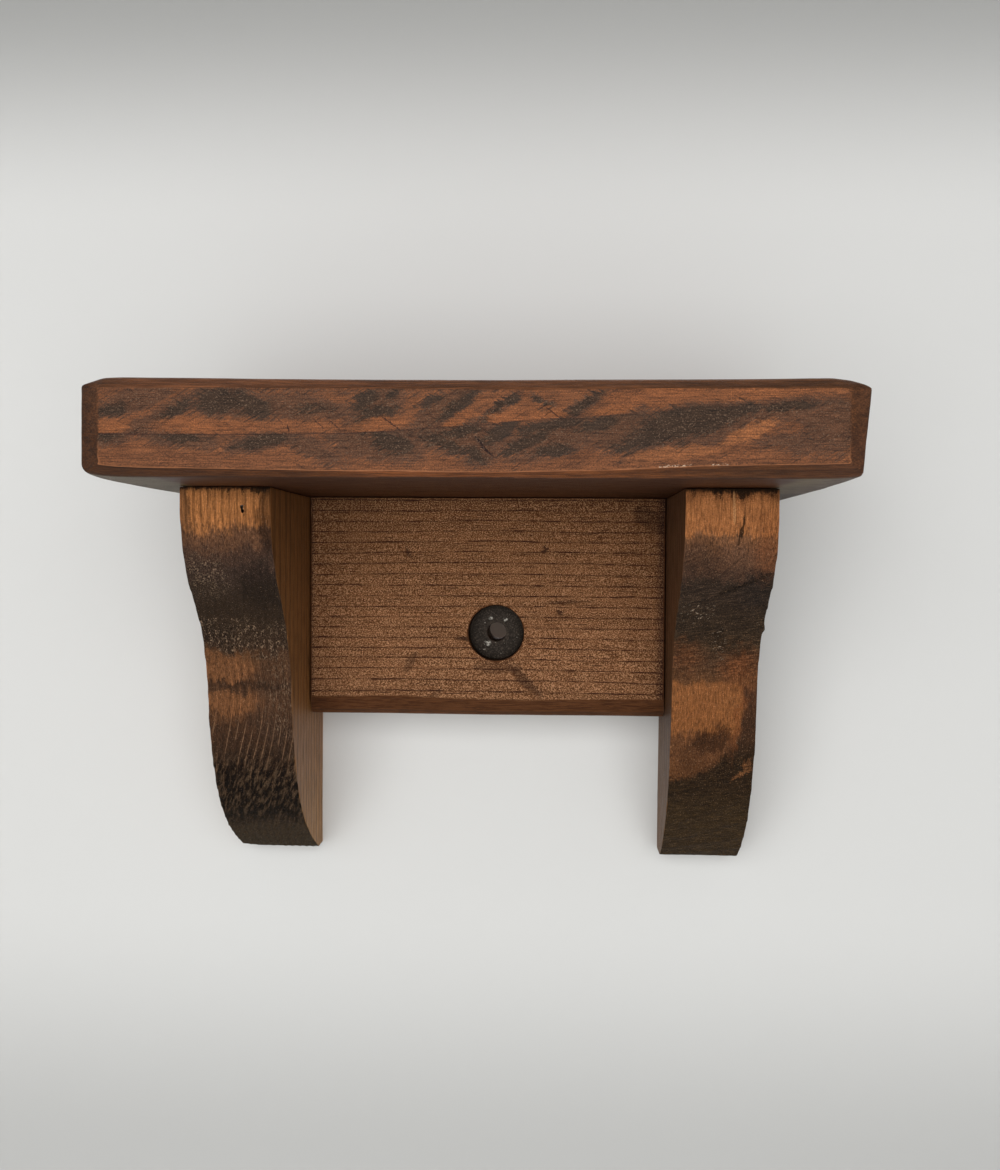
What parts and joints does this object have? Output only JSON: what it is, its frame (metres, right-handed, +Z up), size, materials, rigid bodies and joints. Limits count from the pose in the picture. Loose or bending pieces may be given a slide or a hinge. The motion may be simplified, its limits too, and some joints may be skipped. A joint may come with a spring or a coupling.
{
  "type": "wall shelf",
  "caption": "Small rustic wall shelf: thick chamfered board on S-curved wooden brackets, with a rail bored for a wall screw.",
  "frame": {"origin": "middle of the back rail's rear face, on the wall plane, at half the shelf's length", "axes": "+X along the shelf towards its right end as seen from the room, +Y into the wall, +Z up"},
  "size_m": [0.3054, 0.183, 0.2214],
  "materials": {
    "board_wood": "dark red-brown stain, satin, weathered black patches",
    "bracket_wood": "brown stain over band-sawn grain, near black where scorched",
    "rail_wood": "medium brown stain on a rough-sawn face",
    "washer_steel": "dark, dull and pitted",
    "nail_steel": "plain bright steel, slightly dulled"
  },
  "bodies": {
    "root": {"shelf_board": "board_wood", "left_bracket": "bracket_wood", "right_bracket": "bracket_wood", "back_rail": "rail_wood", "wall_screw_washer": "washer_steel", "shelf_nail_left_front": "nail_steel", "shelf_nail_left_rear": "nail_steel", "shelf_nail_right_front": "nail_steel", "shelf_nail_right_rear": "nail_steel", "rail_nail_left_upper": "nail_steel", "rail_nail_left_lower": "nail_steel", "rail_nail_right_upper": "nail_steel", "rail_nail_right_lower": "nail_steel", "left_bracket_toe_nail": "nail_steel"}
  },
  "joints": []
}
